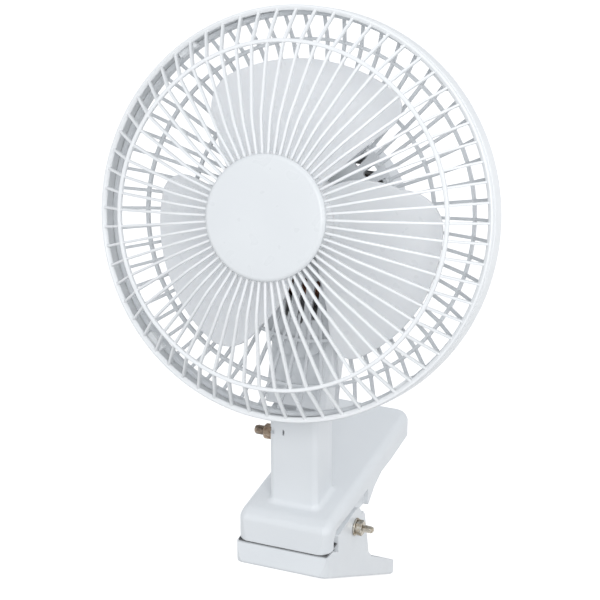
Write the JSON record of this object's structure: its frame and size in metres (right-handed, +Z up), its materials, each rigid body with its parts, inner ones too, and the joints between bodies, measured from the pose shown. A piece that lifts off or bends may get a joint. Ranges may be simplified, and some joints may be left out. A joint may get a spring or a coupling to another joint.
{
  "type": "clip-on fan",
  "caption": "Small clip-on desk fan: ribbed round guard over wide blades, tilting head on a hollow post, sprung two-jaw clamp.",
  "frame": {"origin": "middle of the clamp's mouth, on the upper jaw's underside", "axes": "+Z up along the post, -Y the way the fan faces and the mouth opens, +X across the jaws; the head leans back 18.5 degrees at rest"},
  "size_m": [0.211, 0.169, 0.3592],
  "materials": {
    "clamp_white": "moulded, satin",
    "guard_white": "moulded, satin",
    "rear_white": "moulded, satin, a little greyer",
    "cap_white": "moulded, smooth",
    "cover_white": "moulded, satin",
    "blade_grey": "moulded, slightly translucent pale grey",
    "pad_rubber": "moulded",
    "grommet_rubber": "moulded",
    "zinc_steel": "zinc plated",
    "bolt_brown": "yellow-passivated zinc, darkened",
    "spring_steel": "oiled",
    "shaft_steel": "ground",
    "stator_iron": "laminated, varnished",
    "coil_copper": "enamelled wire",
    "bracket_steel": "pressed sheet",
    "bearing_bronze": "sintered bronze"
  },
  "bodies": {
    "upper_clamp": {"upper_jaw": "clamp_white", "upper_pad": "pad_rubber", "clamp_bolt": "zinc_steel", "clamp_nut": "zinc_steel", "clamp_washer_left": "zinc_steel", "clamp_washer_right": "zinc_steel", "clamp_spring": "spring_steel"},
    "lower_clamp": {"lower_jaw": "clamp_white", "lower_pad": "pad_rubber"},
    "head": {"front_guard": "guard_white", "rear_guard": "rear_white", "guard_cap": "cap_white", "motor_cover": "cover_white", "cover_screw_left": "zinc_steel", "cover_screw_right": "zinc_steel", "cover_screw_low": "zinc_steel", "cord_grommet": "grommet_rubber", "stator_core": "stator_iron", "coil": "coil_copper", "front_bracket": "bracket_steel", "rear_bracket": "bracket_steel", "front_bearing": "bearing_bronze", "rear_bearing": "bearing_bronze", "motor_bolt_top_left": "zinc_steel", "motor_bolt_top_right": "zinc_steel", "motor_bolt_low_left": "zinc_steel", "motor_bolt_low_right": "zinc_steel", "tilt_bolt": "bolt_brown", "tilt_nut": "bolt_brown", "tilt_washer": "bolt_brown"},
    "fan": {"fan_blade": "blade_grey", "motor_shaft": "shaft_steel", "rotor_core": "stator_iron"}
  },
  "joints": [
    {"name": "jaw_hinge", "type": "hinge", "parent": "upper_clamp", "child": "lower_clamp", "pos_m": [0, 0.0312, -0.004], "axis": [1, 0, 0], "range_deg": [0, 36], "stiffness_Nm_per_rad": 0.5, "springref_deg": -57.3},
    {"name": "head_tilt", "type": "hinge", "parent": "upper_clamp", "child": "head", "pos_m": [0, 0.013, 0.0553], "axis": [1, 0, 0], "range_deg": [-45, 18]},
    {"name": "fan_spin", "type": "hinge", "parent": "head", "child": "fan", "pos_m": [0, 0.01033, 0.18347], "axis": [0, -0.9483, 0.3173], "continuous": true}
  ]
}
